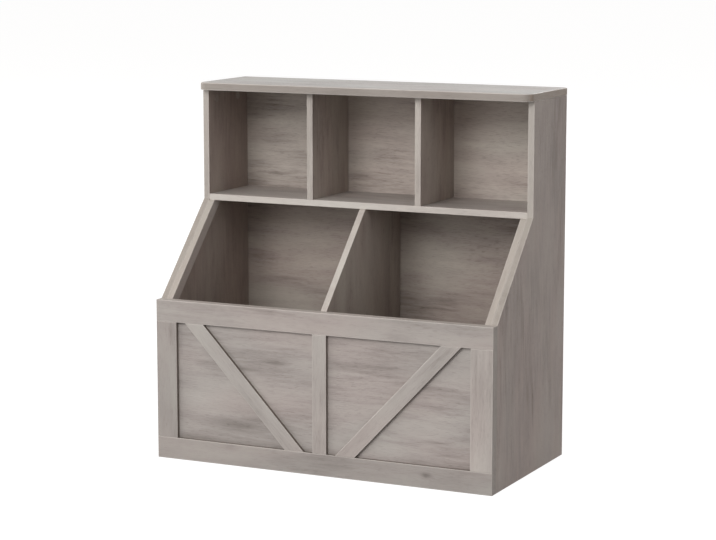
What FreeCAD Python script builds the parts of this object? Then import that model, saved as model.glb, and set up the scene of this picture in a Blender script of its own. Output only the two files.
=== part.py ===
import FreeCAD
import Part
import Sketcher
import os
import re
from collections import defaultdict

# A toy organizer for a child's room: three cubbies over two open bins. The two sides slope back above
# the low front, which is a flat panel dressed with rails, stiles and two braces. Millimetres, +Z up,
# the front faces -Y, and the origin is under the middle of the whole, on the floor.

SIZES = {
    # the whole
    "overall_width": 850,
    "overall_depth": 435,
    "overall_height": 870,
    # stock
    "board": 15,
    "top_thick": 18,
    "trim_thick": 9,
    "sheet_thick": 3,
    # bins and cubbies
    "front_height": 377,
    "cubby_depth": 204,
    "shelf_level": 586,
    "slope_lead": 4,
    "floor_level": 36,
    "plinth_inset": 20,
    # top panel
    "top_overhang": 25,
    "corner_radius": 20,
    "top_round": 3,
    "top_arris": 1.5,
    # trim on the front
    "rail_height": 51,
    "stile_width": 53,
    "centre_stile_width": 35,
    "brace_width": 35,
    "brace_gap": 23,
    "trim_arris": 0.8,
    # battens behind the sloping edges
    "batten_thick": 15,
    "batten_depth": 25,
    # grooves for the two back sheets
    "sheet_inset": 8,
    "groove_depth": 5,
    "groove_play": 0.4,
    "sheet_play": 0.5,
    "divider_gap": 0.3,
    # cam locks and their bolts
    "cam_diameter": 15,
    "cam_height": 12,
    "cam_reach": 24,
    "cam_mouth": 8,
    "key_width": 2,
    "key_length": 9,
    "key_depth": 2.5,
    "shank_diameter": 7,
    "shank_overrun": 2,
    "thread_diameter": 5,
    "thread_length": 11,
    "cover_diameter": 18,
    "cover_thick": 0.5,
    # dowels and screws
    "dowel_diameter": 8,
    "dowel_length": 30,
    "short_dowel_length": 20,
    "dowel_in_face": 10,
    "screw_diameter": 5,
    "screw_length": 50,
    "screw_head": 9.5,
    # room round fasteners: beside them, and past their ends
    "side_fit": 0.15,
    "end_fit": 0.5,
    # where the fasteners are
    "front_fixing": 40,
    "rear_fixing": 60,
    "front_cam_level": 190,
    "front_dowel_low": 90,
    "front_dowel_high": 290,
    "divider_dowel_level": 200,
    "front_dowel_spread": 400,
    "batten_dowel_low": 45,
    "batten_dowel_high": 45,
    # pilot holes for a wall strap
    "strap_hole": 3,
    "strap_hole_depth": 20,
    "strap_spread": 400,
}

# Planes that the boards share, as formulas over the sizes.
X_INNER = "(overall_width / 2 - board)"
X_SIDE = "(overall_width / 2 - board / 2)"
X_DIVIDER = "((overall_width - 4 * board) / 6 + board / 2)"
Y_FRONT = "(-overall_depth / 2)"
Y_CARCASS = "(trim_thick + board - overall_depth / 2)"
Y_CUBBY = "(overall_depth / 2 - cubby_depth)"
Y_REAR = "(overall_depth / 2)"
Y_GROOVE = "(overall_depth / 2 - sheet_inset - sheet_thick - groove_play)"
Z_BIN = "(floor_level + board)"
Z_CUBBY = "(shelf_level + board)"
Z_TOP = "(overall_height - top_thick)"
CARCASS_DEPTH = "(overall_depth - trim_thick - board)"
SLOPE_RUN = "(overall_depth - trim_thick - board - cubby_depth)"
SLOPE_RISE = "(shelf_level + slope_lead - front_height)"
SLOPE_AT_SHELF = f"({SLOPE_RUN} * (shelf_level - front_height) / {SLOPE_RISE})"
HEAD_HEIGHT = "((screw_head - screw_diameter) / 2)"
DIVIDER_BACK = "(sheet_inset + sheet_thick + groove_play + divider_gap)"

AXES = {
    "+x": FreeCAD.Vector(1, 0, 0),
    "-x": FreeCAD.Vector(-1, 0, 0),
    "+y": FreeCAD.Vector(0, 1, 0),
    "-y": FreeCAD.Vector(0, -1, 0),
    "+z": FreeCAD.Vector(0, 0, 1),
    "-z": FreeCAD.Vector(0, 0, -1),
}
OPPOSITE = {"+x": "-x", "-x": "+x", "+y": "-y", "-y": "+y", "+z": "-z", "-z": "+z"}
SIDES = (("left", "-1", "+x"), ("right", "1", "-x"))
TINY = 1e-6

# Pins and bores that no eye reaches are drawn with twelve sides, to keep the count of faces low.
HIDDEN_SIDES = 12
ACROSS_CORNERS = f"cos(180 deg / {HIDDEN_SIDES})"

doc = FreeCAD.newDocument("toy_organizer")
sheet = doc.addObject("Spreadsheet::Sheet", "sizes")
for row, (alias, size) in enumerate(SIZES.items(), start=1):
    sheet.set(f"A{row}", alias)
    sheet.set(f"B{row}", str(size))
    sheet.setAlias(f"B{row}", alias)
doc.recompute()

blanks = {}
cutters = defaultdict(list)
groups = defaultdict(list)


def formula(text):
    """The same formula with every size's name pointed at its cell."""
    return re.sub(r"[a-z]\w*", lambda word: f"sizes.{word[0]}" if word[0] in SIZES else word[0], text)


def bind(item, **formulas):
    """Bind properties of the item to formulas over the sizes."""
    for name, text in formulas.items():
        item.setExpression(name, formula(text))


def place(item, point, turn=FreeCAD.Rotation()):
    """Put the item's own origin at a point given by three formulas."""
    item.Placement = FreeCAD.Placement(FreeCAD.Vector(), turn)
    for axis, text in zip("xyz", point):
        item.setExpression(f"Placement.Base.{axis}", formula(text))


def shifted(point, way, distance):
    """The point moved along an axis by a formula's worth."""
    return [
        text if not part else f"{text} {'+' if part > 0 else '-'} ({distance})"
        for text, part in zip(point, AXES[way])
    ]


def turned_to(way):
    """The rotation that points an item's own Z axis along the axis named."""
    return FreeCAD.Rotation(AXES["+z"], AXES[way])


def prism(name, radius, height):
    """A bar of HIDDEN_SIDES sides along its own Z, of the radius to its corners."""
    item = doc.addObject("Part::Prism", name)
    item.Polygon = HIDDEN_SIDES
    bind(item, Circumradius=radius, Height=height)
    return item


# ---- boards


def box(name, corner, length, width, height):
    """A plain rectangular board."""
    item = doc.addObject("Part::Box", f"{name}_blank")
    bind(item, Length=length, Width=width, Height=height)
    place(item, corner)
    blanks[name] = item
    return item


def outline(body, plane, corners, relations=()):
    """A closed sketch of straight lines on one of the body's planes.

    Each corner is two formulas, measured from the body's origin. One that starts with ~ is only
    a first guess, and the relations settle it.
    """
    sketch = body.newObject("Sketcher::SketchObject", f"{body.Name}_outline")
    support = next(item for item in body.Origin.OriginFeatures if item.Role == plane)
    sketch.AttachmentSupport = [(support, "")]
    sketch.MapMode = "FlatFace"
    points = [
        FreeCAD.Vector(*[body.evalExpression(formula(text.strip("~"))) for text in corner], 0)
        for corner in corners
    ]
    count = len(points)
    for index, point in enumerate(points):
        sketch.addGeometry(Part.LineSegment(point, points[(index + 1) % count]))
    for index in range(count):
        sketch.addConstraint(Sketcher.Constraint("Coincident", index, 2, (index + 1) % count, 1))
    for index, corner in enumerate(corners):
        for kind, text, axis, number in zip(("DistanceX", "DistanceY"), corner, (-2, -1), points[index]):
            if text.startswith("~"):
                continue
            if text == "0":
                sketch.addConstraint(Sketcher.Constraint("PointOnObject", index, 1, axis))
                continue
            place_in_list = sketch.addConstraint(Sketcher.Constraint(kind, -1, 1, index, 1, number))
            sketch.renameConstraint(place_in_list, f"{kind}_{index}")
            sketch.setExpression(f"Constraints.{kind}_{index}", formula(text))
    for kind, *where, text in relations:
        if kind == "Parallel":
            sketch.addConstraint(Sketcher.Constraint(kind, *where, text))
            continue
        number = body.evalExpression(formula(text))
        place_in_list = sketch.addConstraint(Sketcher.Constraint(kind, *where, number))
        sketch.renameConstraint(place_in_list, "strip_width")
        sketch.setExpression("Constraints.strip_width", formula(text))
    return sketch


def profiled(name, plane, corner, corners, thickness, relations=()):
    """A board of any outline, padded from its sketch along +X, +Y or +Z."""
    body = doc.addObject("PartDesign::Body", f"{name}_blank")
    section = outline(body, plane, corners, relations)
    pad = body.newObject("PartDesign::Pad", f"{name}_pad")
    pad.Profile = section
    pad.Reversed = plane == "XZ_Plane"
    bind(pad, Length=thickness)
    place(body, corner)
    blanks[name] = body
    doc.recompute()
    return body


def dressed(body, kind, size, wanted):
    """Break or round the edges of the body for which wanted(edge) holds."""
    tip = body.Tip
    edges = [f"Edge{number}" for number, edge in enumerate(tip.Shape.Edges, start=1) if wanted(edge)]
    feature = body.newObject(f"PartDesign::{kind}", f"{body.Name}_{kind.lower()}")
    feature.Base = (tip, edges)
    bind(feature, **{"Chamfer": {"Size": size}, "Fillet": {"Radius": size}}[kind])
    doc.recompute()
    return feature


def front_edge(edge):
    """Whether an edge lies in the body's own front plane."""
    return all(abs(vertex.Point.y) < TINY for vertex in edge.Vertexes)


def mirrored(name, source):
    """The other hand of a board, across the middle of the object."""
    item = doc.addObject("Part::Mirroring", f"{name}_blank")
    item.Source = blanks[source]
    item.Normal = AXES["+x"]
    blanks[name] = item
    return item


def groove(name, corner, length, width, height):
    """Cut a rectangular groove in a board."""
    item = doc.addObject("Part::Box", f"{name}_groove")
    bind(item, Length=length, Width=width, Height=height)
    place(item, corner)
    cutters[name].append(item)


def bore(name, mouth, way, diameter, depth):
    """Drill a board for a pin of some diameter, from the mouth along an axis, where it shows."""
    item = doc.addObject("Part::Cylinder", f"{name}_bore")
    bind(item, Radius=f"({diameter}) / 2 + side_fit", Height=depth)
    place(item, mouth, turned_to(way))
    cutters[name].append(item)


def hidden_bore(name, mouth, way, diameter, depth):
    """The same inside a closed joint, wide enough across its flats for the pin's corners."""
    item = prism(f"{name}_bore", f"(({diameter}) / 2 + side_fit) / {ACROSS_CORNERS}", depth)
    place(item, mouth, turned_to(way))
    cutters[name].append(item)


def countersink(name, mouth, way):
    """Open a bore's mouth to a cone for a screw's head."""
    item = doc.addObject("Part::Cone", f"{name}_countersink")
    bind(
        item,
        Radius1="screw_head / 2 + side_fit",
        Radius2="screw_diameter / 2 + side_fit",
        Height=HEAD_HEIGHT,
    )
    place(item, mouth, turned_to(way))
    cutters[name].append(item)


# ---- fasteners, each drawn once and then set at every joint


def cam_lock():
    """The round lock: its open face is at Z = 0, and its mouth points along +X at mid board."""
    barrel = doc.addObject("Part::Cylinder", "cam_barrel")
    bind(barrel, Radius="cam_diameter / 2", Height="cam_height")
    place(barrel, ("0", "0", "-cam_height"))
    mouth = doc.addObject("Part::Box", "cam_mouth_cutter")
    bind(mouth, Length="cam_diameter", Width="cam_mouth", Height="cam_mouth")
    place(mouth, ("-cam_mouth / 2", "-cam_mouth / 2", "-(board + cam_mouth) / 2"))
    keys = []
    for name, length, width in (("along", "key_length", "key_width"), ("across", "key_width", "key_length")):
        key = doc.addObject("Part::Box", f"cam_key_{name}")
        bind(key, Length=length, Width=width, Height="key_depth")
        place(key, (f"-{length} / 2", f"-{width} / 2", "-key_depth"))
        keys.append(key)
    hollow = doc.addObject("Part::MultiFuse", "cam_hollows")
    hollow.Shapes = [mouth, *keys]
    lock = doc.addObject("Part::Cut", "cam_lock_master")
    lock.Base = barrel
    lock.Tool = hollow
    return lock


def cam_bolt():
    """The bolt along Z: threaded up to thread_length, where the joint's face is, and a shank above."""
    thread = prism("bolt_thread", "thread_diameter / 2", "thread_length")
    shank = prism("bolt_shank", "shank_diameter / 2", "cam_reach + shank_overrun")
    place(shank, ("0", "0", "thread_length"))
    bolt = doc.addObject("Part::Fuse", "cam_bolt_master")
    bolt.Base = thread
    bolt.Tool = shank
    return bolt


def screw():
    """The countersunk screw: its head's face is at Z = 0 and it runs along +Z."""
    head = doc.addObject("Part::Cone", "screw_cone")
    bind(head, Radius1="screw_head / 2", Radius2="screw_diameter / 2", Height=HEAD_HEIGHT)
    shank = prism("screw_shank", "screw_diameter / 2", f"screw_length - {HEAD_HEIGHT}")
    place(shank, ("0", "0", HEAD_HEIGHT))
    whole = doc.addObject("Part::Fuse", "screw_master")
    whole.Base = head
    whole.Tool = shank
    return whole


def cover():
    """A thin stick-on disc that hides a cam: its back is at Z = 0."""
    disc = doc.addObject("Part::Cylinder", "cover_master")
    bind(disc, Radius="cover_diameter / 2", Height="cover_thick")
    return disc


def set_piece(group, master, point, turn):
    """Add a copy of a fastener to its group."""
    copy = doc.addObject("App::Link", f"{group}_copy")
    copy.LinkedObject = master
    place(copy, point, turn)
    groups[group].append(copy)


def cam_joint(face_board, edge_board, joint, way, opening, covered):
    """A bolt screwed into one board's face and locked by a cam let into the other.

    joint is the bolt's place on the plane where the boards meet, way points from there into the edge
    of the second board, and opening is the way that the cam's face looks.
    """
    set_piece("cam_bolts", bolt_master, shifted(joint, OPPOSITE[way], "thread_length"), turned_to(way))
    hidden_bore(face_board, joint, OPPOSITE[way], "thread_diameter", "thread_length + end_fit")
    hidden_bore(edge_board, joint, way, "shank_diameter", "cam_reach")
    middle = shifted(joint, way, "cam_reach")
    face = shifted(middle, opening, "board / 2")
    facing = FreeCAD.Rotation(AXES[OPPOSITE[way]], FreeCAD.Vector(), AXES[opening], "ZXY")
    set_piece("cam_locks", cam_master, face, facing)
    bore(edge_board, face, OPPOSITE[opening], "cam_diameter", "cam_height + end_fit")
    if covered:
        set_piece("cam_covers", cover_master, face, turned_to(opening))


def dowel_joint(face_board, edge_board, joint, way, short=False):
    """A dowel across the plane where two boards meet; way points into the second board."""
    length = "short_dowel_length" if short else "dowel_length"
    group = "batten_dowels" if short else "wood_dowels"
    master = short_dowel_master if short else dowel_master
    set_piece(group, master, shifted(joint, OPPOSITE[way], "dowel_in_face"), turned_to(way))
    hidden_bore(face_board, joint, OPPOSITE[way], "dowel_diameter", "dowel_in_face + end_fit")
    hidden_bore(edge_board, joint, way, "dowel_diameter", f"{length} - dowel_in_face + end_fit")


def screw_joint(face_board, edge_board, mouth, way):
    """A screw through one board into the edge of another; mouth is on the first one's far face."""
    set_piece("bin_divider_screws", screw_master, mouth, turned_to(way))
    hidden_bore(face_board, mouth, way, "screw_diameter", "board")
    countersink(face_board, mouth, way)
    into_edge = shifted(mouth, way, "board")
    hidden_bore(edge_board, into_edge, way, "screw_diameter", "screw_length - board + end_fit")


bolt_master = cam_bolt()
cam_master = cam_lock()
cover_master = cover()
screw_master = screw()
dowel_master = prism("dowel_master", "dowel_diameter / 2", "dowel_length")
short_dowel_master = prism("short_dowel_master", "dowel_diameter / 2", "short_dowel_length")

# ---- carcass

profiled(
    "side_panel_left",
    "YZ_Plane",
    ("-overall_width / 2", Y_CARCASS, "0"),
    [
        ("0", "0"),
        (CARCASS_DEPTH, "0"),
        (CARCASS_DEPTH, Z_TOP),
        (SLOPE_RUN, Z_TOP),
        (SLOPE_RUN, "shelf_level + slope_lead"),
        ("0", "front_height"),
    ],
    "board",
)
mirrored("side_panel_right", "side_panel_left")

top = profiled(
    "top_panel",
    "XY_Plane",
    ("-overall_width / 2", f"{Y_CUBBY} - top_overhang", Z_TOP),
    [
        ("0", "0"),
        ("overall_width", "0"),
        ("overall_width", "cubby_depth + top_overhang"),
        ("0", "cubby_depth + top_overhang"),
    ],
    "top_thick",
)
top_depth = SIZES["cubby_depth"] + SIZES["top_overhang"]
dressed(
    top,
    "Fillet",
    "corner_radius",
    lambda edge: all(abs(vertex.Point.y) < TINY for vertex in edge.Vertexes)
    and abs(edge.Length - SIZES["top_thick"]) < TINY,
)


def on_top_face(edge):
    """Whether an edge runs round the front or the sides of the top face."""
    points = [vertex.Point for vertex in edge.Vertexes]
    level = all(abs(point.z - SIZES["top_thick"]) < TINY for point in points)
    return level and not all(abs(point.y - top_depth) < TINY for point in points)


def under_top(edge):
    """Whether an edge runs round the front or the sides of the underside."""
    points = [vertex.Point for vertex in edge.Vertexes]
    level = all(abs(point.z) < TINY for point in points)
    return level and not all(abs(point.y - top_depth) < TINY for point in points)


dressed(top, "Fillet", "top_round", on_top_face)
dressed(top, "Chamfer", "top_arris", under_top)

box("cubby_shelf", (f"-{X_INNER}", Y_CUBBY, "shelf_level"), f"2 * {X_INNER}", "cubby_depth", "board")
box("bottom_panel", (f"-{X_INNER}", Y_CARCASS, "floor_level"), f"2 * {X_INNER}", CARCASS_DEPTH, "board")
box(
    "rear_plinth",
    (f"-{X_INNER}", f"{Y_REAR} - plinth_inset - board", "0"),
    f"2 * {X_INNER}",
    "board",
    "floor_level",
)
for side, sign, _ in SIDES:
    box(
        f"cubby_divider_{side}",
        (f"{sign} * {X_DIVIDER} - board / 2", Y_CUBBY, Z_CUBBY),
        "board",
        f"cubby_depth - {DIVIDER_BACK}",
        f"{Z_TOP} - {Z_CUBBY}",
    )
profiled(
    "bin_divider",
    "YZ_Plane",
    ("-board / 2", Y_CARCASS, "0"),
    [
        ("0", Z_BIN),
        (f"{CARCASS_DEPTH} - {DIVIDER_BACK}", Z_BIN),
        (f"{CARCASS_DEPTH} - {DIVIDER_BACK}", "shelf_level"),
        (SLOPE_AT_SHELF, "shelf_level"),
        ("0", "front_height"),
    ],
    "board",
)
profiled(
    "slope_batten_left",
    "YZ_Plane",
    (f"-{X_INNER}", Y_CARCASS, "0"),
    [
        ("0", "~front_height - 1.4 * batten_depth"),
        (f"~{SLOPE_AT_SHELF} + 1.4 * batten_depth", "shelf_level"),
        (SLOPE_AT_SHELF, "shelf_level"),
        ("0", "front_height"),
    ],
    "batten_thick",
    [("Parallel", 0, 2), ("Distance", 3, 1, 0, "batten_depth")],
)
mirrored("slope_batten_right", "slope_batten_left")

# ---- the two back sheets and the grooves that hold them

SHEET_HALF = f"({X_INNER} + groove_depth - sheet_play)"
for name, low, high in (("back_panel_lower", Z_BIN, "shelf_level"), ("back_panel_upper", Z_CUBBY, Z_TOP)):
    box(
        name,
        (f"-{SHEET_HALF}", f"{Y_GROOVE} + groove_play / 2", f"{low} - groove_depth + sheet_play"),
        f"2 * {SHEET_HALF}",
        "sheet_thick",
        f"{high} - {low} + 2 * (groove_depth - sheet_play)",
    )
GROOVE_WIDTH = "sheet_thick + groove_play"
GROOVE_HALF = f"({X_INNER} + groove_depth)"
for side, sign, _ in SIDES:
    groove(
        f"side_panel_{side}",
        (f"{sign} * ({X_INNER} + groove_depth / 2) - groove_depth / 2", Y_GROOVE, f"{Z_BIN} - groove_depth"),
        "groove_depth",
        GROOVE_WIDTH,
        f"{Z_TOP} - {Z_BIN} + groove_depth",
    )
for name, half, low in (
    ("bottom_panel", X_INNER, f"{Z_BIN} - groove_depth"),
    ("cubby_shelf", X_INNER, "shelf_level"),
    ("cubby_shelf", X_INNER, f"{Z_CUBBY} - groove_depth"),
    ("top_panel", GROOVE_HALF, Z_TOP),
):
    groove(name, (f"-{half}", Y_GROOVE, low), f"2 * {half}", GROOVE_WIDTH, "groove_depth")

# ---- front panel and its trim

box(
    "front_panel",
    ("-overall_width / 2", f"{Y_FRONT} + trim_thick", "0"),
    "overall_width",
    "board",
    "front_height",
)
RAIL_TOP = "(front_height - rail_height)"


def trim(name, left, low, width, height):
    """A rectangular strip on the front, its front edges broken; left is from the middle."""
    corners = [("0", "0"), (width, "0"), (width, height), ("0", height)]
    body = profiled(name, "XZ_Plane", (left, Y_FRONT, low), corners, "trim_thick")
    dressed(body, "Chamfer", "trim_arris", front_edge)


trim("front_rail_bottom", "-overall_width / 2", "0", "overall_width", "rail_height")
trim("front_rail_top", "-overall_width / 2", RAIL_TOP, "overall_width", "rail_height")
STILE_HEIGHT = f"{RAIL_TOP} - rail_height"
trim("front_stile_left", "-overall_width / 2", "rail_height", "stile_width", STILE_HEIGHT)
trim("front_stile_centre", "-centre_stile_width / 2", "rail_height", "centre_stile_width", STILE_HEIGHT)
trim("front_stile_right", "overall_width / 2 - stile_width", "rail_height", "stile_width", STILE_HEIGHT)
BRACE_FOOT = "(overall_width / 2 - centre_stile_width / 2 - brace_gap)"
brace = profiled(
    "front_brace_left",
    "XZ_Plane",
    ("-overall_width / 2", Y_FRONT, "0"),
    [
        (f"~{BRACE_FOOT} - 1.4 * brace_width", "rail_height"),
        (BRACE_FOOT, "rail_height"),
        ("~stile_width + brace_gap + 1.4 * brace_width", RAIL_TOP),
        ("stile_width + brace_gap", RAIL_TOP),
    ],
    "trim_thick",
    [("Parallel", 1, 3), ("Distance", 3, 1, 1, "brace_width")],
)
dressed(brace, "Chamfer", "trim_arris", front_edge)
mirrored("front_brace_right", "front_brace_left")

# ---- joints

CUBBY_FIXINGS = (f"{Y_CUBBY} + front_fixing", f"{Y_REAR} - rear_fixing")
BIN_FIXINGS = (f"{Y_CARCASS} + front_fixing", f"{Y_REAR} - rear_fixing")
SLOPE_LENGTH = f"sqrt({SLOPE_RUN} ^ 2 + {SLOPE_RISE} ^ 2)"
BATTEN_LENGTH = f"(sqrt({SLOPE_AT_SHELF} ^ 2 + (shelf_level - front_height) ^ 2))"


def on_batten(along):
    """Y and Z of the point on a batten's middle line, a distance up its sloping front face."""
    run = f"{SLOPE_RUN} / {SLOPE_LENGTH}"
    rise = f"{SLOPE_RISE} / {SLOPE_LENGTH}"
    return (
        f"{Y_CARCASS} + ({along}) * {run} + batten_depth / 2 * {rise}",
        f"front_height + ({along}) * {rise} - batten_depth / 2 * {run}",
    )


for side, sign, inward in SIDES:
    panel = f"side_panel_{side}"
    divider = f"cubby_divider_{side}"
    for y in CUBBY_FIXINGS:
        cam_joint("top_panel", panel, (f"{sign} * {X_SIDE}", y, Z_TOP), "-z", inward, covered=True)
        dowel_joint("top_panel", divider, (f"{sign} * {X_DIVIDER}", y, Z_TOP), "-z")
        dowel_joint("cubby_shelf", divider, (f"{sign} * {X_DIVIDER}", y, Z_CUBBY), "+z")
    shelf_ends = [(f"{sign} * {X_INNER}", y, "shelf_level + board / 2") for y in CUBBY_FIXINGS]
    cam_joint(panel, "cubby_shelf", shelf_ends[0], inward, "-z", covered=False)
    dowel_joint(panel, "cubby_shelf", shelf_ends[1], inward)
    for y in BIN_FIXINGS:
        dowel_joint(panel, "bottom_panel", (f"{sign} * {X_INNER}", y, "floor_level + board / 2"), inward)
    floor_end = (f"{sign} * {X_INNER}", "(trim_thick + board) / 2", "floor_level + board / 2")
    cam_joint(panel, "bottom_panel", floor_end, inward, "-z", covered=False)
    front_edge_cam = (f"{sign} * {X_SIDE}", Y_CARCASS, "front_cam_level")
    cam_joint("front_panel", panel, front_edge_cam, "+y", inward, covered=True)
    for level in ("front_dowel_low", "front_dowel_high"):
        dowel_joint("front_panel", panel, (f"{sign} * {X_SIDE}", Y_CARCASS, level), "+y")
    spread = (f"{sign} * front_dowel_spread / 2", Y_CARCASS, "floor_level + board / 2")
    dowel_joint("front_panel", "bottom_panel", spread, "+y")
    plinth_end = (f"{sign} * {X_INNER}", f"{Y_REAR} - plinth_inset - board / 2", "floor_level / 2")
    dowel_joint(panel, "rear_plinth", plinth_end, inward)
    for along in ("batten_dowel_low", f"{BATTEN_LENGTH} - batten_dowel_high"):
        point = (f"{sign} * {X_INNER}", *on_batten(along))
        dowel_joint(panel, f"slope_batten_{side}", point, inward, short=True)
    strap_mouth = (f"{sign} * strap_spread / 2", Y_REAR, "overall_height - top_thick / 2")
    bore("top_panel", strap_mouth, "-y", "strap_hole - 2 * side_fit", "strap_hole_depth")
for y in CUBBY_FIXINGS:
    dowel_joint("cubby_shelf", "bin_divider", ("0", y, "shelf_level"), "-z")
for y in BIN_FIXINGS:
    screw_joint("bottom_panel", "bin_divider", ("0", y, "floor_level"), "+z")
dowel_joint("front_panel", "bin_divider", ("0", Y_CARCASS, "divider_dowel_level"), "+y")

# ---- finished pieces, one file each


def finished(name):
    """A board with its grooves and holes cut, or the plain blank if it has none."""
    blank = blanks[name]
    if name not in cutters:
        blank.Label = name
        return blank
    tool = doc.addObject("Part::MultiFuse", f"{name}_cutters")
    tool.Shapes = cutters[name]
    board = doc.addObject("Part::Cut", name)
    board.Base = blank
    board.Tool = tool
    return board


def gathered(name):
    """All copies of one fastener, as separate solids."""
    group = doc.addObject("Part::Compound", name)
    group.Links = groups[name]
    return group


pieces = [finished(name) for name in blanks] + [gathered(name) for name in groups]
doc.recompute()

for item in doc.Objects:
    if {"Invalid", "Error"} & set(item.State):
        raise RuntimeError(f"{item.Label} failed: {item.State}")
for piece in pieces:
    if piece.Shape.isNull() or not piece.Shape.isValid():
        raise RuntimeError(f"{piece.Label} has no valid shape")

os.makedirs("parts", exist_ok=True)
for piece in pieces:
    piece.Shape.exportStep(f"parts/{piece.Label}.step")
    box_of = piece.Shape.BoundBox
    print(
        f"{piece.Label:20} solids {len(piece.Shape.Solids):3}  volume {piece.Shape.Volume / 1000:9.1f} cm3"
        f"  x {box_of.XMin:7.1f} {box_of.XMax:7.1f}  y {box_of.YMin:7.1f} {box_of.YMax:7.1f}"
        f"  z {box_of.ZMin:6.1f} {box_of.ZMax:6.1f}"
    )
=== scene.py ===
import math

import bpy
from bpy.props import FloatProperty, FloatVectorProperty, PointerProperty
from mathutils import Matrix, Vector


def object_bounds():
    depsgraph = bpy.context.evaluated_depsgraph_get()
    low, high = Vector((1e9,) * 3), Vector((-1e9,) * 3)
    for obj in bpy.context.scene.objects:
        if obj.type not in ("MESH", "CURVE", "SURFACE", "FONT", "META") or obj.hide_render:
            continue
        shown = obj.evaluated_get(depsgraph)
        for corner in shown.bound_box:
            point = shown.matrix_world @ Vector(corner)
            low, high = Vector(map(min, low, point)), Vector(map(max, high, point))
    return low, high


bl_info = {
    "name": "Toy Storage Organizer",
    "version": (1, 0, 0),
    "blender": (4, 5, 0),
    "location": "View3D > Sidebar > Organizer",
    "description": "Finishes, light and camera for a toy storage organizer with bins",
    "category": "Object",
}

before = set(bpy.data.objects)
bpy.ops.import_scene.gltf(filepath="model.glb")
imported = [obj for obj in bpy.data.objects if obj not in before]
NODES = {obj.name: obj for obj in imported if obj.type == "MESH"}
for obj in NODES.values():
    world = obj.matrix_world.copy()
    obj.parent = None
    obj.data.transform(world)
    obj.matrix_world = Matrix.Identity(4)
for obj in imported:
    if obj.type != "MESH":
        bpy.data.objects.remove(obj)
CAD_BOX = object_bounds()
LOW, HIGH = CAD_BOX

X, Y, Z = (1.0, 0.0, 0.0), (0.0, 1.0, 0.0), (0.0, 0.0, 1.0)
LEFT, DOWN = (-1.0, 0.0, 0.0), (0.0, 0.0, -1.0)
# how far the sloping edges turn from level, the way they face, and the braces' lean
SLOPE_ANGLE, BRACE_ANGLE = math.radians(45.8), math.radians(46.5)
SLOPE = (0.0, -math.sin(SLOPE_ANGLE), math.cos(SLOPE_ANGLE))

# metres, but the sensor's width in millimetres
FLOOR_REACH, FLOOR_GAP = 60.0, 0.0002
LAMP_DISTANCE, LAMP_DEPTH = 10.0, 4.4
SENSOR = 36.0
# how much of its own light and of the lamps' the floor shows to the camera
FLOOR_GLOW, FLOOR_LIT = 0.93, 0.22
# edges sharper than this are eased, after points this near are joined
EASED_ANGLE, JOINED_REACH = math.radians(35), 1e-6
# how much of a band's grain gives way to the middle tone
BAND_CALM = 0.5


def srgb(red, green, blue):
    """Linear values of a colour that is written as 0 to 255."""

    def linear(level):
        level /= 255
        return level / 12.92 if level <= 0.04045 else ((level + 0.055) / 1.055) ** 2.4

    return tuple(linear(level) for level in (red, green, blue))


def shade(colour, *factor):
    """A colour made darker or lighter, alike or by one factor for each of its parts."""
    factors = factor if len(factor) == 3 else factor * 3
    return tuple(min(1.0, part * by) for part, by in zip(colour, factors))


# ---------------------------------------------------------------- shader maths


class Value:
    """A shader socket that takes part in Python sums."""

    def __init__(self, finish, socket):
        self.finish, self.socket = finish, socket

    def __add__(self, other):
        return self.finish.math("ADD", self, other)

    __radd__ = __add__

    def __sub__(self, other):
        return self.finish.math("SUBTRACT", self, other)

    def __rsub__(self, other):
        return self.finish.math("SUBTRACT", other, self)

    def __mul__(self, other):
        return self.finish.math("MULTIPLY", self, other)

    __rmul__ = __mul__

    def __truediv__(self, other):
        return self.finish.math("DIVIDE", self, other)

    def __rtruediv__(self, other):
        return self.finish.math("DIVIDE", other, self)

    def __pow__(self, other):
        return self.finish.math("POWER", self, other)

    def __neg__(self):
        return self * -1.0


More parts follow.
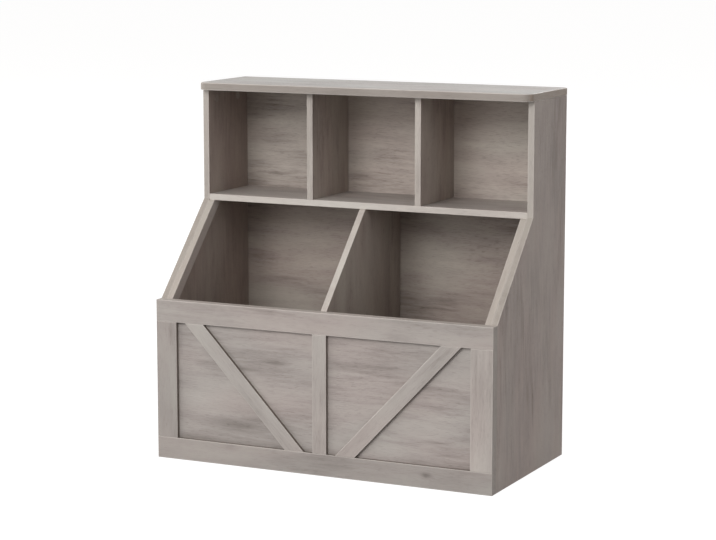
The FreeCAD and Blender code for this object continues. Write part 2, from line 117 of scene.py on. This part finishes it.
class Finish:
    """The nodes of a material or of the world, and the ways to add to them."""

    def __init__(self, owner):
        owner.use_nodes = True
        self.owner = owner
        self.tree = owner.node_tree
        self.tree.nodes.clear()

    def node(self, kind, settings=None, sockets=None, out=0):
        """A node of that kind: its settings first, then its sockets' values or links."""
        made = self.tree.nodes.new("ShaderNode" + kind)
        for name, value in (settings or {}).items():
            if name == "stops":
                ramp = made.color_ramp.elements
                while len(ramp) < len(value):
                    ramp.new(1.0)
                for stop, (place, colour) in zip(ramp, value):
                    stop.position = place
                    stop.color = (*colour, 1.0)
            else:
                setattr(made, name, value)
        for name, value in (sockets or {}).items():
            if isinstance(value, Value):
                self.tree.links.new(value.socket, made.inputs[name])
            elif hasattr(value, "__len__") and made.inputs[name].type == "RGBA":
                made.inputs[name].default_value = (*value[:3], 1.0)
            else:
                made.inputs[name].default_value = value
        return None if out is None else Value(self, made.outputs[out])

    def math(self, operation, *values):
        return self.node(
            "Math", {"operation": operation}, dict(enumerate(values))
        )

    def step(self, value, low, high):
        """0 below low, 1 above high, smooth between."""
        return self.node(
            "MapRange",
            {"interpolation_type": "SMOOTHSTEP"},
            {"Value": value, "From Min": low, "From Max": high},
        )

    def noise(self, where, scale, detail=2.0, roughness=0.5, out=0):
        return self.node(
            "TexNoise",
            {"noise_dimensions": "3D"},
            {"Vector": where, "Scale": scale, "Detail": detail, "Roughness": roughness},
            out,
        )

    def blend(self, factor, first, second, kind="MIX"):
        """A mix of two colours."""
        return self.node(
            "Mix",
            {"data_type": "RGBA", "blend_type": kind, "clamp_result": True},
            {0: factor, 6: first, 7: second},
            2,
        )

    def vector(self, *parts):
        return self.node("CombineXYZ", None, dict(enumerate(parts)))

    def parts(self, vector):
        return [
            self.node("SeparateXYZ", None, {0: vector}, out) for out in range(3)
        ]

    def dot(self, vector, axis):
        return self.node(
            "VectorMath", {"operation": "DOT_PRODUCT"}, {0: vector, 1: axis}, 1
        )

    def place(self):
        return self.node("TexCoord", None, None, 3)

    def facing(self, axis):
        """1 where the surface faces along the axis, -1 where it faces against it."""
        return self.dot(self.node("TexCoord", None, None, 1), axis)

    def surface(self, colour, roughness, height, depth=0.0002, **constants):
        """Closes the material with its one shader."""
        bump = self.node(
            "Bump", None, {"Strength": 1.0, "Distance": depth, "Height": height}
        )
        sockets = {"Base Color": colour, "Roughness": roughness, "Normal": bump}
        for name, value in constants.items():
            sockets[name.replace("_", " ").title()] = value
        return self.close(self.node("BsdfPrincipled", None, sockets))

    def close(self, shader, kind="OutputMaterial"):
        """Puts the shader on the output and gives back what the nodes belong to."""
        self.node(kind, None, {"Surface": shader}, None)
        return self.owner

    def seen(self):
        """1 for what the camera sees, straight, mirrored or through glass."""
        straight, mirrored, through = (
            self.node("LightPath", None, None, f"Is {ray} Ray")
            for ray in ("Camera", "Glossy", "Transmission")
        )
        return self.math("MAXIMUM", self.math("MAXIMUM", straight, mirrored), through)


# ---------------------------------------------------------------- what a user may change


class OrganizerWash(bpy.types.PropertyGroup):
    """The grey wash and the other finishes."""

    wash: FloatVectorProperty(
        name="Wash",
        description="Middle tone of the grey wash",
        subtype="COLOR",
        size=3,
        min=0.0,
        max=1.0,
        default=srgb(170, 161, 156),
    )
    deep: FloatVectorProperty(
        name="Deep grain",
        description="Darkest lines of the grain",
        subtype="COLOR",
        size=3,
        min=0.0,
        max=1.0,
        default=srgb(112, 103, 97),
    )
    pale: FloatVectorProperty(
        name="Pale grain",
        description="Lightest clouds of the wash",
        subtype="COLOR",
        size=3,
        min=0.0,
        max=1.0,
        default=srgb(195, 191, 183),
    )
    band: FloatVectorProperty(
        name="Edge band",
        description="Middle tone of the bands on the boards' edges",
        subtype="COLOR",
        size=3,
        min=0.0,
        max=1.0,
        default=srgb(173, 165, 158),
    )
    shelf_band: FloatVectorProperty(
        name="Shelf's edge band",
        description="Middle tone of the band on the front of the shelf",
        subtype="COLOR",
        size=3,
        min=0.0,
        max=1.0,
        default=srgb(196, 189, 182),
    )
    slope: FloatVectorProperty(
        name="Sloping edges",
        description="Middle tone of the sides' and battens' sloping edges",
        subtype="COLOR",
        size=3,
        min=0.0,
        max=1.0,
        default=srgb(160, 152, 144),
    )
    # painted shade: the ends colour darkens the front's end faces on the left and right, like
    # the shaded sides
    ends: FloatVectorProperty(
        name="Front's ends",
        description="Middle tone of the front's edges on the left and right",
        subtype="COLOR",
        size=3,
        min=0.0,
        max=1.0,
        default=srgb(155, 145, 138),
    )
    top_band: FloatVectorProperty(
        name="Top's edge band",
        description="Middle tone of the band round the top",
        subtype="COLOR",
        size=3,
        min=0.0,
        max=1.0,
        default=srgb(149, 141, 134),
    )
    # painted shade: the corners colour darkens the strips' inner edge faces, where the recess
    # beside the panel lies in shade
    corner: FloatVectorProperty(
        name="Corners",
        description="Wash gathered on the strips' inner edges",
        subtype="COLOR",
        size=3,
        min=0.0,
        max=1.0,
        default=srgb(104, 94, 87),
    )
    # the colour of worn edges; made paler, it is also a painted highlight on the top's lower
    # arrises
    wear_and_highlight: FloatVectorProperty(
        name="Rubbed edges",
        description="Paler ground where the edges are worn",
        subtype="COLOR",
        size=3,
        min=0.0,
        max=1.0,
        default=srgb(206, 200, 194),
    )
    fibre: FloatVectorProperty(
        name="Bare fibre",
        description="Uncoated rear of the back sheets",
        subtype="COLOR",
        size=3,
        min=0.0,
        max=1.0,
        default=srgb(182, 169, 149),
    )
    beech: FloatVectorProperty(
        name="Beech",
        description="Bare dowels",
        subtype="COLOR",
        size=3,
        min=0.0,
        max=1.0,
        default=srgb(205, 176, 136),
    )
    metal: FloatVectorProperty(
        name="Plated metal",
        description="Cam locks, cam bolts and screws",
        subtype="COLOR",
        size=3,
        min=0.0,
        max=1.0,
        default=srgb(186, 187, 190),
    )
    contrast: FloatProperty(
        name="Contrast",
        description="How far the grain leaves the middle tone",
        subtype="FACTOR",
        min=0.0,
        max=2.0,
        default=1.0,
    )
    wear: FloatProperty(
        name="Edge wear",
        description="How much the wash is rubbed off along the edges",
        subtype="FACTOR",
        min=0.0,
        max=1.0,
        default=0.6,
    )
    relief: FloatProperty(
        name="Grain relief",
        description="Depth of the pressed grain",
        subtype="DISTANCE",
        unit="LENGTH",
        min=0.0,
        max=0.001,
        precision=5,
        default=0.00018,
    )
    rim: FloatProperty(
        name="Rim",
        description="Width of the rubbed strip beside an arris",
        subtype="DISTANCE",
        unit="LENGTH",
        min=0.0005,
        max=0.01,
        precision=4,
        default=0.003,
    )
    arris: FloatProperty(
        name="Arris",
        description="Radius on the boards' edges",
        subtype="DISTANCE",
        unit="LENGTH",
        min=0.0,
        max=0.003,
        precision=5,
        default=0.0007,
    )
    trim_arris: FloatProperty(
        name="Trim arris",
        description="Softening of the trim strips' eased edges",
        subtype="DISTANCE",
        unit="LENGTH",
        min=0.0,
        max=0.001,
        precision=5,
        default=0.0003,
    )


class OrganizerStage(bpy.types.PropertyGroup):
    """Floor, light and camera."""

    key: FloatProperty(
        name="Key light",
        description="Power of the soft light in front, above the eye",
        subtype="POWER",
        unit="POWER",
        min=0.0,
        default=456.0,
    )
    front: FloatProperty(
        name="Front light",
        description="Power of the low light in front that reaches into the openings",
        subtype="POWER",
        unit="POWER",
        min=0.0,
        default=138.0,
    )
    left: FloatProperty(
        name="Left light",
        description="Power of the long low light on the left",
        subtype="POWER",
        unit="POWER",
        min=0.0,
        default=460.0,
    )
    right: FloatProperty(
        name="Right light",
        description="Power of the low light on the right",
        subtype="POWER",
        unit="POWER",
        min=0.0,
        default=108.0,
    )
    overhead: FloatProperty(
        name="Overhead light",
        description="Power of the soft light above the top",
        subtype="POWER",
        unit="POWER",
        min=0.0,
        default=200.0,
    )
    rear: FloatProperty(
        name="Rear light",
        description="Power of the soft light behind, which leaves the front alone",
        subtype="POWER",
        unit="POWER",
        min=0.0,
        default=230.0,
    )
    sky: FloatVectorProperty(
        name="Sky",
        description="Even light from all round",
        subtype="COLOR",
        size=3,
        min=0.0,
        max=2.0,
        default=(0.25, 0.23, 0.215),
    )
    floor: FloatVectorProperty(
        name="Floor",
        description="Colour that the floor throws back on the object",
        subtype="COLOR",
        size=3,
        min=0.0,
        max=1.0,
        default=(0.3, 0.296, 0.292),
    )
    lens: FloatProperty(
        name="Lens",
        description="Focal length on a sensor 36 mm wide",
        subtype="DISTANCE_CAMERA",
        min=10.0,
        default=113.77,
    )
    turn: FloatProperty(
        name="Turn",
        description="How far right of the front the camera stands",
        subtype="ANGLE",
        unit="ROTATION",
        default=math.radians(25.77),
    )
    tilt: FloatProperty(
        name="Tilt",
        description="How far the camera looks down",
        subtype="ANGLE",
        unit="ROTATION",
        default=math.radians(8.87),
    )
    station: FloatVectorProperty(
        name="Station",
        description="Where the camera stands",
        subtype="TRANSLATION",
        unit="LENGTH",
        size=3,
        default=(2.26442, -4.70439, 1.25929),
    )


# ---------------------------------------------------------------- finishes


def piece(name):
    if name not in NODES:
        raise RuntimeError(f"the frame has no piece named {name}")
    return NODES[name]


def reach(board, way):
    """How far a piece goes along a direction, least and most."""
    places = [corner.co.dot(Vector(way)) for corner in board.data.vertices]
    return min(places), max(places)


def washed_wood(
    name,
    number,
    grain,
    face,
    spots=(),
    band=None,
    turned=(),
    rims=(0.0, 0.0),
    figure=1.0,
    length=1.0,
    contrast=1.0,
    tone=(1.0, 1.0, 1.0),
    bare_back=False,
):
    """Grey wash over wood grain.

    grain is the direction of the grain and face the board's thin direction. A spot is
    its place along the grain, its place across it, its radius, its strength and how
    short it is along the grain; a spot is a knot, a streak, a paler patch or a stretch
    of painted shade. band is the colour of the edges. turned gives ways that faces look,
    each with the colour there, where it starts and where it is full. rims says how
    strongly a paler strip is laid beside the long arrises, on the faces and on the
    edges. figure is the size of the grain's figure and length how long its lines are.
    tone darkens or lightens red, green and blue, but not the band.
    """
    wash = bpy.context.scene.organizer_wash
    board = piece(name)
    finish = Finish(bpy.data.materials.new("wash_" + name))
    across = (
        grain[1] * face[2] - grain[2] * face[1],
        grain[2] * face[0] - grain[0] * face[2],
        grain[0] * face[1] - grain[1] * face[0],
    )
    here = finish.place()
    along = finish.dot(here, grain)
    side = finish.dot(here, across)
    deep = finish.dot(here, face)

    # each board is cut from another part of the log
    cut = (number * 1.37 % 5, number * 2.11 % 5, number * 0.73 % 5)
    wave = finish.noise(
        finish.vector(along * 1.7 + cut[0], side * 4.0 + cut[1], deep * 4.0 + cut[2]),
        1.0,
        2.0,
        0.5,
        1,
    )
    wave_side, wave_deep, wave_ring = finish.parts(wave)
    bent = side + (wave_side - 0.5) * 0.03
    spot_darkening = None
    for place, offset, radius, strength, short in spots:
        far_along = (along - place) * short
        far_side = side - offset
        square = far_along * far_along + far_side * far_side
        bent = bent - far_side * (short * radius**2 / (square + 0.6 * radius**2))
        dark = finish.math("EXPONENT", square * (-1.0 / radius**2)) * strength
        spot_darkening = dark if spot_darkening is None else spot_darkening + dark
    bent_deep = deep + (wave_deep - 0.5) * 0.03

    def lines(stretch, scale, detail, roughness):
        where = finish.vector(
            along * (stretch / length) + cut[1], bent + cut[2], bent_deep + cut[0]
        )
        return finish.noise(where, scale, detail, roughness)

    patch = lines(0.45, 7.0 / figure, 2.0, 0.5)
    cloud = lines(0.22, 26.0 / figure, 3.0, 0.5)
    streak = lines(0.1, 58.0 / figure, 3.0, 0.5)
    dash = lines(0.08, 150.0 / figure**0.5, 3.0, 0.55)
    fibre = lines(0.03, 900.0, 2.0, 0.6)
    pore = finish.step(lines(0.04, 1400.0, 0.0, 0.5), 0.66, 0.74)
    # growth rings of a log whose heart lies behind the board, a little out of line
    heart = bent + along * 0.06 + cut[0] * 0.03 - 0.07
    from_heart = (heart * heart + 0.0025) ** 0.5
    ring = finish.math("FRACT", from_heart * 70.0 + wave_ring * 4.0)
    ring = finish.step(ring, 0.0, 0.8) - finish.step(ring, 0.82, 1.0)
    # dark lines gather in some parts of the board, and the pale clouds stay smooth
    drawn = finish.step(patch, 0.62, 0.38)
    stroke = finish.step(streak, 0.52, 0.74) * (drawn * 0.8 + 0.2)

    level = (
        (cloud - 0.5) * 0.55
        + (patch - 0.5) * 0.55
        + (streak - 0.5) * 0.22
        + (dash - 0.5) * (drawn * 0.24 + 0.08)
        - (stroke - 0.12) * 0.2
        + (fibre - 0.5) * 0.2
        - (ring - 0.4) * drawn * 0.04
        - pore * 0.14
    ) * (contrast * wash.contrast) + 0.5
    if spot_darkening is not None:
        level = level - spot_darkening * wash.contrast

    colour = finish.node(
        "ValToRGB",
        {
            "stops": [
                (0.0, shade(wash.deep, *tone)),
                (0.5, shade(wash.wash, *tone)),
                (1.0, shade(wash.pale, *tone)),
            ]
        },
        {0: level},
    )
    # the wash drifts between a cooler and a warmer grey
    broad = finish.vector(along * 3.0 + cut[2], side * 8.0 + cut[0], deep * 8.0)
    drift = finish.step(finish.noise(broad, 1.0, 1.0), 0.35, 0.65)
    tint = finish.blend(drift, (0.98, 1.0, 1.0), (1.0, 0.98, 0.98))
    colour = finish.blend(1.0, colour, tint, "MULTIPLY")

    flat = finish.facing(face)
    flat = flat * flat
    faces = [
        (ink, finish.step(finish.facing(way), start, full))
        for way, ink, start, full in turned
    ]
    if band:
        faces.insert(0, (band, 1.0 - finish.step(flat, 0.3, 0.7)))
    # a band's printed grain is fainter than the board's
    plain = finish.blend(BAND_CALM, colour, shade(wash.wash, *tone))
    for ink, amount in faces:
        lift = tuple(part / (ground * by) for part, ground, by in zip(ink, wash.wash, tone))
        inked = finish.node(
            "VectorMath", {"operation": "MULTIPLY"}, {0: plain, 1: lift}
        )
        colour = finish.blend(amount, colour, inked)
    # rubbed through to paler ground where the surface turns from face to edge
    patchy = 0.35 + cloud * 0.9
    rub = finish.step(flat * (1.0 - flat) * 4.0 * patchy, 0.25, 0.7) * wash.wear
    # rims lay a paler strip beside the long arrises, on the faces and on the edges
    for amount, where, way, on in (
        (rims[0], side, across, flat),
        (rims[1], deep, face, 1.0 - flat),
    ):
        if amount:
            low, high = reach(board, way)
            middle, half = (low + high) / 2, (high - low) / 2
            off = finish.math("ABSOLUTE", where - middle)
            beside = finish.step(off, half - wash.rim, half - 0.0004) * on
            rub = finish.math("MAXIMUM", rub, beside * patchy * (wash.wear * amount))
    colour = finish.blend(rub, colour, wash.wear_and_highlight)

    rough = 0.5 + (streak - 0.5) * 0.2 + pore * 0.15 - rub * 0.1
    height = fibre * 0.5 + streak * 0.5 - pore * 0.8 - ring * 0.15
    if bare_back:
        felt = finish.noise(here, 420.0, 4.0, 0.7)
        fleck = finish.node("TexVoronoi", {"feature": "F1"}, {"Vector": here, "Scale": 260.0})
        stain = finish.noise(here, 9.0, 4.0, 0.6)
        raw = finish.blend(
            finish.step(felt * 0.55 + fleck * 0.35 + stain * 0.35, 0.3, 0.85),
            shade(wash.fibre, 0.72),
            shade(wash.fibre, 1.18),
        )
        coated = finish.step(-finish.facing(face), 0.3, 0.6)
        colour = finish.blend(coated, raw, colour)
        rough = finish.node("Mix", {"data_type": "FLOAT"}, {0: coated, 2: 0.85, 3: rough})
        height = finish.node("Mix", {"data_type": "FLOAT"}, {0: coated, 2: felt, 3: height})
    return finish.surface(colour, rough, height, wash.relief)


def plated_metal(name, axis, dull, thread=0.0):
    """Plated or cast metal. thread is the pitch of the lines round the axis."""
    wash = bpy.context.scene.organizer_wash
    finish = Finish(bpy.data.materials.new(name))
    here = finish.place()
    grime = finish.noise(here, 160.0, 4.0, 0.6)
    grit = finish.noise(here, 2600.0, 2.0, 0.6)
    colour = finish.blend(
        finish.step(grime, 0.3, 0.7),
        shade(wash.metal, 0.72),
        shade(wash.metal, 1.1),
    )
    height = grit * dull
    if thread:
        turn = finish.math("PINGPONG", finish.dot(here, axis), thread / 2)
        height = height + turn * (2.0 / thread)
    rough = 0.22 + dull * 0.2 + grime * 0.2
    return finish.surface(colour, rough, height, metallic=1.0)


def bare_beech(name):
    """Unfinished beech, with the short flecks of its rays."""
    wash = bpy.context.scene.organizer_wash
    finish = Finish(bpy.data.materials.new(name))
    along, side, deep = finish.parts(finish.place())
    grain = finish.noise(finish.vector(along * 0.08, side, deep), 900.0, 3.0, 0.6)
    rays = finish.noise(finish.vector(along * 0.3, side, deep), 1600.0, 1.0)
    fleck = finish.step(rays, 0.6, 0.7)
    colour = finish.blend(finish.step(grain, 0.3, 0.7), shade(wash.beech, 0.78), wash.beech)
    colour = finish.blend(fleck * 0.5, colour, shade(wash.beech, 0.55))
    return finish.surface(colour, 0.6 + grain * 0.2, grain + fleck)


# ---------------------------------------------------------------- floor and surroundings


def place_in_scene(name, data):
    """An object that holds the data, in the scene."""
    made = bpy.data.objects.new(name, data)
    bpy.context.scene.collection.objects.link(made)
    return made


def pale_floor(stage):
    """A floor that looks white, keeps the object's shadow and throws back little light."""
    mesh = bpy.data.meshes.new("floor")
    x, y, z = FLOOR_REACH, FLOOR_REACH, LOW.z - FLOOR_GAP
    mesh.from_pydata([(-x, -y, z), (x, -y, z), (x, y, z), (-x, y, z)], [], [(0, 1, 2, 3)])
    finish = Finish(bpy.data.materials.new("pale_floor"))
    thrown = finish.node("BsdfDiffuse", None, {"Color": stage.floor})
    lit = finish.node("BsdfDiffuse", None, {"Color": (FLOOR_LIT,) * 3})
    glow = finish.node("Emission", None, {"Color": (1.0, 1.0, 1.0), "Strength": FLOOR_GLOW})
    shown = finish.node("AddShader", None, {0: lit, 1: glow})
    mixed = finish.node("MixShader", None, {0: finish.seen(), 1: thrown, 2: shown})
    mesh.materials.append(finish.close(mixed))
    return mesh


def white_world(stage):
    """Even light from all round, white where the camera sees it."""
    finish = Finish(bpy.data.worlds.new("studio"))
    sky = finish.blend(finish.seen(), stage.sky, (1.0, 1.0, 1.0))
    return finish.close(finish.node("Background", None, {"Color": sky}), "OutputWorld")


# ---------------------------------------------------------------- operators


def dress(name, material, arris=0.0):
    """Gives a piece its finish and, where wanted, softly rounded edges."""
    board = piece(name)
    board.data.materials.clear()
    board.data.materials.append(material)
    if arris > 0:
        weld = board.modifiers.new("Joined skin", "WELD")
        weld.merge_threshold = JOINED_REACH
        ease = board.modifiers.new("Eased edges", "BEVEL")
        ease.width = arris
        ease.segments = 2
        ease.limit_method = "ANGLE"
        ease.angle_limit = EASED_ANGLE
        ease.use_clamp_overlap = False


class ORGANIZER_OT_side_panels(bpy.types.Operator):
    """Finishes the two side panels, grain upright"""

    bl_idname = "organizer.side_panels"
    bl_label = "Side panels"

    def execute(self, context):
        wash = context.scene.organizer_wash
        for number, name in enumerate(("side_panel_left", "side_panel_right")):
            finish = washed_wood(
                name,
                number + 1,
                Z,
                X,
                band=wash.band,
                turned=((SLOPE, wash.slope, 0.8, 0.95),),
                rims=(0.0, 0.7),
                figure=1.5,
                length=0.75,
                contrast=1.15,
                # painted shade: the sides' tone is darker and warmer than the front's, on the
                # inner faces as on the outer
                tone=(0.91, 0.84, 0.81),
            )
            dress(name, finish, wash.arris)
        return {"FINISHED"}


class ORGANIZER_OT_level_boards(bpy.types.Operator):
    """Finishes the top, the shelf, the bins' floor and the rear plinth, grain along the width"""

    bl_idname = "organizer.level_boards"
    bl_label = "Top, shelf, floor and plinth"

    def execute(self, context):
        wash = context.scene.organizer_wash
        # the eased arrises under its front and ends, which get a painted highlight: the worn
        # edge colour made paler
        half = math.sqrt(0.5)
        lower = ((0.0, -half, -half), (half, 0.0, -half), (-half, 0.0, -half))
        ends = shade(wash.top_band, 1.1, 1.01, 0.93)
        finish = washed_wood(
            "top_panel",
            3,
            X,
            Z,
            band=wash.top_band,
            turned=[(way, ends, 0.6, 0.9) for way in (X, LEFT)]
            + [(way, shade(wash.wear_and_highlight, 1.4), 0.9, 0.97) for way in lower],
            rims=(0.0, 0.5),
            tone=(1.0, 1.06, 1.085),
        )
        dress("top_panel", finish)
        boards = (
            ("cubby_shelf", Z, wash.shelf_band),
            ("bottom_panel", Z, wash.band),
            ("rear_plinth", Y, wash.band),
        )
        for number, (name, face, band) in enumerate(boards):
            finish = washed_wood(name, number + 4, X, face, band=band, rims=(0.0, 0.3))
            dress(name, finish, wash.arris)
        return {"FINISHED"}


class ORGANIZER_OT_dividers(bpy.types.Operator):
    """Finishes the two cubby dividers and the bin divider, grain upright"""

    bl_idname = "organizer.dividers"
    bl_label = "Dividers"

    def execute(self, context):
        wash = context.scene.organizer_wash
        names = ("cubby_divider_left", "cubby_divider_right", "bin_divider")
        for number, name in enumerate(names):
            finish = washed_wood(
                name,
                number + 7,
                Z,
                X,
                band=shade(wash.band, 1.1),
                rims=(0.0, 0.25),
                figure=1.3,
                contrast=1.8,
                # painted shade: the dividers inside the openings take a darker, warmer tone than
                # the front's
                tone=(0.96, 0.92, 0.89),
            )
            dress(name, finish, wash.arris)
        return {"FINISHED"}


class ORGANIZER_OT_front_panel(bpy.types.Operator):
    """Finishes the front panel behind the trim, grain along the width"""

    bl_idname = "organizer.front_panel"
    bl_label = "Front panel"

    def execute(self, context):
        wash = context.scene.organizer_wash
        spots = (
            (-0.114, 0.251, 0.009, 0.26, 0.3),
            (-0.25, 0.0985, 0.019, 0.24, 0.12),
            (-0.3, 0.235, 0.01, 0.14, 0.12),
            (0.09, 0.262, 0.010, 0.16, 0.12),
            # painted shade: the two long spots along the bottom darken the panel just above the
            # bottom rail
            (-0.25, 0.052, 0.018, 0.24, 0.07),
            (0.22, 0.05, 0.018, 0.16, 0.07),
            (0.21, 0.13, 0.05, -0.2, 0.35),
        )
        finish = washed_wood(
            "front_panel",
            10,
            X,
            Y,
            spots,
            wash.band,
            # painted shade on the front panel's end faces
            turned=[(way, wash.ends, 0.6, 0.9) for way in (X, LEFT)],
            tone=(0.985, 0.985, 0.99),
        )
        dress("front_panel", finish, wash.arris)
        return {"FINISHED"}


class ORGANIZER_OT_rails_and_stiles(bpy.types.Operator):
    """Finishes the front's rails, grain along the width, and its stiles, grain upright"""

    bl_idname = "organizer.rails_and_stiles"
    bl_label = "Rails and stiles"

    def execute(self, context):
        wash = context.scene.organizer_wash
        strips = {
            "front_rail_top": (X, (DOWN,), 0.7, 0.98, ((0.196, 0.336, 0.010, 0.18, 0.3),)),
            "front_rail_bottom": (
                X,
                (Z,),
                0.7,
                0.85,
                ((0.267, 0.030, 0.006, 0.42, 0.45), (-0.231, 0.043, 0.008, 0.22, 0.4)),
            ),
            "front_stile_left": (Z, (X,), 0.0, 0.86, ((0.294, 0.387, 0.008, 0.15, 0.3),)),
            "front_stile_centre": (Z, (X, LEFT), 0.3, 1.02, ()),
            "front_stile_right": (Z, (LEFT,), 0.6, 1.07, ()),
        }
        for number, (name, (grain, inner, rim, tone, spots)) in enumerate(strips.items()):
            outer = [way for way in (X, LEFT) if way not in inner]
            finish = washed_wood(
                name,
                number + 11,
                grain,
                Y,
                spots,
                # painted shade: the strips' inner edge faces take the corners colour, and their
                # outer ends take the ends colour
                turned=[(way, wash.corner, 0.8, 0.95) for way in inner]
                + [(way, wash.ends, 0.8, 0.95) for way in outer],
                rims=(rim, 0.0),
                contrast=0.85,
                tone=(tone, tone, tone),
            )
            dress(name, finish, wash.trim_arris)
        return {"FINISHED"}


class ORGANIZER_OT_braces(bpy.types.Operator):
    """Finishes the front's two braces, grain along each"""

    bl_idname = "organizer.braces"
    bl_label = "Braces"

    def execute(self, context):
        wash = context.scene.organizer_wash
        for number, (name, way) in enumerate(
            (("front_brace_left", 1), ("front_brace_right", -1))
        ):
            grain = (math.cos(BRACE_ANGLE) * way, 0.0, -math.sin(BRACE_ANGLE))
            upper = (math.sin(BRACE_ANGLE) * way, 0.0, math.cos(BRACE_ANGLE))
            lower = tuple(-part for part in upper)
            finish = washed_wood(
                name,
                number + 16,
                grain,
                Y,
                # painted shade: both edge faces of each brace take the corners colour
                turned=[(side, wash.corner, 0.8, 0.95) for side in (upper, lower)],
                rims=(0.4, 0.0),
                contrast=0.75,
                tone=(1.0, 1.01, 1.01),
            )
            dress(name, finish, wash.trim_arris)
        return {"FINISHED"}


class ORGANIZER_OT_battens(bpy.types.Operator):
    """Finishes the battens inside the sloping edges, grain along the slope"""

    bl_idname = "organizer.battens"
    bl_label = "Slope battens"

    def execute(self, context):
        wash = context.scene.organizer_wash
        grain = (0.0, -SLOPE[2], SLOPE[1])
        for number, name in enumerate(("slope_batten_left", "slope_batten_right")):
            finish = washed_wood(
                name,
                number + 18,
                grain,
                X,
                band=shade(wash.slope, 1.15),
                turned=[(way, shade(wash.wash, 1.2), 0.6, 0.9) for way in (X, LEFT)],
                rims=(0.0, 0.5),
            )
            dress(name, finish, wash.arris)
        return {"FINISHED"}


class ORGANIZER_OT_back_sheets(bpy.types.Operator):
    """Finishes the two back sheets: washed inside, bare fibre behind"""

    bl_idname = "organizer.back_sheets"
    bl_label = "Back sheets"

    def execute(self, context):
        # painted light and shade: the upper sheet behind the cubbies is made lighter, the lower
        # one deep in the bins darker
        sheets = (
            ("back_panel_upper", (1.1, 1.07, 1.03)),
            ("back_panel_lower", (0.93, 0.88, 0.84)),
        )
        for number, (name, tone) in enumerate(sheets):
            finish = washed_wood(
                name, number + 20, X, Y, contrast=1.7, tone=tone, bare_back=True
            )
            dress(name, finish)
        return {"FINISHED"}


class ORGANIZER_OT_fasteners(bpy.types.Operator):
    """Finishes the cam locks, cam bolts, screws, dowels and the stick-on covers"""

    bl_idname = "organizer.fasteners"
    bl_label = "Fasteners and covers"

    def execute(self, context):
        dress("cam_locks", plated_metal("cast_zinc", Z, 1.0))
        dress("cam_bolts", plated_metal("bright_bolt", X, 0.2, 0.0022))
        dress("bin_divider_screws", plated_metal("bright_screw", Z, 0.2, 0.003))
        dress("cam_covers", washed_wood("cam_covers", 22, Z, X, tone=(0.97, 0.97, 0.97)))
        beech = bare_beech("bare_beech")
        for name in ("wood_dowels", "batten_dowels"):
            dress(name, beech)
        return {"FINISHED"}


class ORGANIZER_OT_stage(bpy.types.Operator):
    """Makes the floor, the light and the camera"""

    bl_idname = "organizer.stage"
    bl_label = "Stage"

    def execute(self, context):
        stage = context.scene.organizer_stage
        place_in_scene("floor", pale_floor(stage))
        context.scene.world = white_world(stage)

        # name, power, height above level and turn from the front in degrees, width
        lamps = (
            ("key", stage.key, 31.0, -4.0, 5.0),
            ("front", stage.front, 13.0, -18.0, LAMP_DEPTH),
            ("left", stage.left, 14.0, -70.0, 8.0),
            ("right", stage.right, 14.0, 75.0, LAMP_DEPTH),
            ("overhead", stage.overhead, 88.0, 0.0, LAMP_DEPTH),
            ("rear", stage.rear, 18.0, 180.0, LAMP_DEPTH),
        )
        for name, power, height, turn, width in lamps:
            up, around = math.radians(height), math.radians(turn)
            level = math.cos(up)
            away = Vector(
                (math.sin(around) * level, -math.cos(around) * level, math.sin(up))
            )
            lamp = bpy.data.lights.new(name, "AREA")
            lamp.shape, lamp.energy = "RECTANGLE", power
            lamp.size, lamp.size_y = width, LAMP_DEPTH
            holder = place_in_scene(name, lamp)
            holder.location = (LOW + HIGH) / 2 + away * LAMP_DISTANCE
            holder.rotation_euler = away.to_track_quat("Z", "Y").to_euler()

        lens = bpy.data.cameras.new("camera")
        lens.sensor_width = SENSOR
        lens.lens = stage.lens
        camera = place_in_scene("camera", lens)
        camera.location = stage.station
        camera.rotation_euler = (math.pi / 2 - stage.tilt, 0.0, stage.turn)
        context.scene.camera = camera
        context.scene.view_settings.view_transform = "Standard"
        return {"FINISHED"}


# ---------------------------------------------------------------- sidebar

OPERATORS = (
    ORGANIZER_OT_side_panels,
    ORGANIZER_OT_level_boards,
    ORGANIZER_OT_dividers,
    ORGANIZER_OT_front_panel,
    ORGANIZER_OT_rails_and_stiles,
    ORGANIZER_OT_braces,
    ORGANIZER_OT_battens,
    ORGANIZER_OT_back_sheets,
    ORGANIZER_OT_fasteners,
    ORGANIZER_OT_stage,
)


class ORGANIZER_PT_sidebar(bpy.types.Panel):
    """Lists the organizer's pieces and finishes"""

    bl_idname = "ORGANIZER_PT_sidebar"
    bl_label = "Toy storage organizer"
    bl_space_type = "VIEW_3D"
    bl_region_type = "UI"
    bl_category = "Organizer"

    def draw(self, context):
        layout = self.layout
        for group in (context.scene.organizer_wash, context.scene.organizer_stage):
            box = layout.box()
            for name in group.__annotations__:
                box.prop(group, name)
        for operator in OPERATORS:
            layout.operator(operator.bl_idname)


CLASSES = (OrganizerWash, OrganizerStage, *OPERATORS, ORGANIZER_PT_sidebar)


def register():
    for made in CLASSES:
        bpy.utils.register_class(made)
    bpy.types.Scene.organizer_wash = PointerProperty(type=OrganizerWash)
    bpy.types.Scene.organizer_stage = PointerProperty(type=OrganizerStage)


def unregister():
    del bpy.types.Scene.organizer_stage
    del bpy.types.Scene.organizer_wash
    for made in reversed(CLASSES):
        bpy.utils.unregister_class(made)


def main():
    register()
    for operator in OPERATORS:
        group, name = operator.bl_idname.split(".")
        getattr(getattr(bpy.ops, group), name)()


if __name__ == "__main__":
    main()
